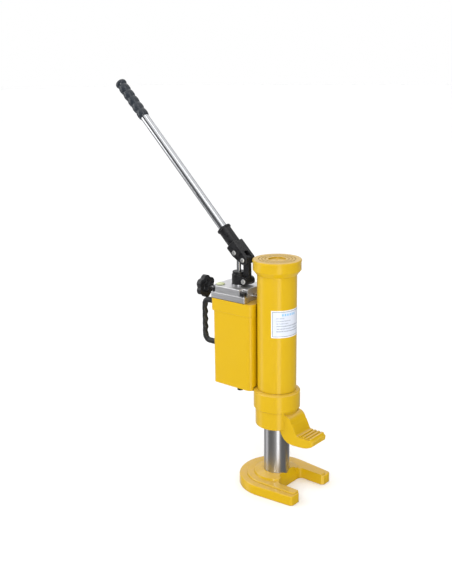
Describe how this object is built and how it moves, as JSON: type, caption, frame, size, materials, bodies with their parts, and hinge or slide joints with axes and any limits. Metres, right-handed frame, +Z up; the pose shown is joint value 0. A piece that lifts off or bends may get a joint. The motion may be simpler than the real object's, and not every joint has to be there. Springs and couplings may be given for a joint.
{
  "type": "hydraulic toe jack",
  "caption": "Hydraulic toe jack: horseshoe foot, fixed ram, sliding cylinder with lifting claw, side oil tank, lever hand pump, release knob, carry handle.",
  "frame": {"origin": "on the floor, at the ram's axis, on the flat underside of the foot", "axes": "+Z up along the ram, +X out along the lifting claw and the foot's prongs, -Y the side the label faces"},
  "size_m": [0.6804, 0.196, 1.0357],
  "materials": {
    "yellow_paint": "gloss enamel",
    "ground_steel": "ground, fine circumferential lines",
    "steel": "plain machined",
    "bright_pin": "bright zinc",
    "chrome": "bright plated",
    "blackened_steel": "satin black",
    "machined_aluminium": "milled",
    "bronze": "machined bronze",
    "seal_rubber": "nitrile",
    "bearing_plastic": "filled nylon",
    "copper": "soft copper",
    "black_plastic": "moulded",
    "grip_plastic": "moulded, glossy",
    "cap_plastic": "translucent moulded",
    "label_film": "printed film"
  },
  "bodies": {
    "base": {"foot": "yellow_paint", "foot_set_screw": "blackened_steel", "ram": "ground_steel", "piston": "steel", "piston_seal": "seal_rubber", "piston_guide_band": "bearing_plastic", "piston_nut": "steel", "stop_sleeve": "steel"},
    "lift_body": {"cylinder_tube": "yellow_paint", "head_cap": "yellow_paint", "head_cap_seal": "seal_rubber", "collar": "yellow_paint", "gland_bush": "bronze", "rod_wiper": "seal_rubber", "toe": "yellow_paint", "rating_label": "label_film", "tank_shell": "yellow_paint", "tank_rail": "yellow_paint", "drain_plug": "blackened_steel", "drain_washer": "copper", "cover_gasket": "seal_rubber", "pump_cover": "machined_aluminium", "cover_screws": "blackened_steel", "spring_washers": "steel", "filler_cap": "cap_plastic", "filler_seal": "seal_rubber", "barrel_ring": "steel", "pump_barrel": "blackened_steel", "pump_seal": "seal_rubber", "link_pin": "bright_pin", "link_pin_clips": "blackened_steel", "suction_tube": "steel", "suction_strainer": "bronze", "suction_ball": "steel", "suction_retainer": "steel", "discharge_ball": "steel", "discharge_spring": "steel", "drilling_plug": "steel", "pressure_nipple": "steel", "valve_gland_nut": "blackened_steel", "spindle_seal": "seal_rubber", "release_ball": "steel", "carry_handle": "black_plastic", "carry_handle_screws": "blackened_steel"},
    "release_valve": {"valve_spindle": "steel", "release_knob": "black_plastic"},
    "link": {"fulcrum_link": "blackened_steel"},
    "lever": {"lever_fork": "blackened_steel", "fulcrum_pin": "bright_pin", "plunger_pin": "bright_pin", "fork_pin_clips": "blackened_steel", "handle_socket": "blackened_steel"},
    "plunger_body": {"plunger": "chrome", "plunger_head": "blackened_steel"},
    "handle": {"handle_bar": "chrome", "handle_grip": "grip_plastic"}
  },
  "joints": [
    {"name": "body_lift", "type": "slide", "parent": "base", "child": "lift_body", "axis": [0, 0, 1], "range_m": [-0.127, 0.083]},
    {"name": "release_turn", "type": "hinge", "parent": "lift_body", "child": "release_valve", "pos_m": [-0.19, -0.018, 0.503], "axis": [1, 0, 0], "range_deg": [0, 270]},
    {"name": "link_swing", "type": "hinge", "parent": "lift_body", "child": "link", "pos_m": [-0.094, 0, 0.533], "axis": [0, 1, 0], "range_deg": [-2.3, 6.6]},
    {"name": "lever_stroke", "type": "hinge", "parent": "link", "child": "lever", "pos_m": [-0.09498, 0, 0.58899], "axis": [0, -1, 0], "range_deg": [-14, 42]},
    {"name": "plunger_stroke", "type": "slide", "parent": "lift_body", "child": "plunger_body", "axis": [0, 0, 1], "range_m": [-0.0189, 0.0063]},
    {"name": "handle_draw", "type": "slide", "parent": "lever", "child": "handle", "axis": [-0.7071, 0, 0.7071], "range_m": [0, 0.06]}
  ],
  "couplings": [
    {"joint": "link_swing", "follows": "lever_stroke", "ratio": 0.155},
    {"joint": "plunger_stroke", "follows": "lever_stroke", "m_per_rad": -0.0257}
  ]
}
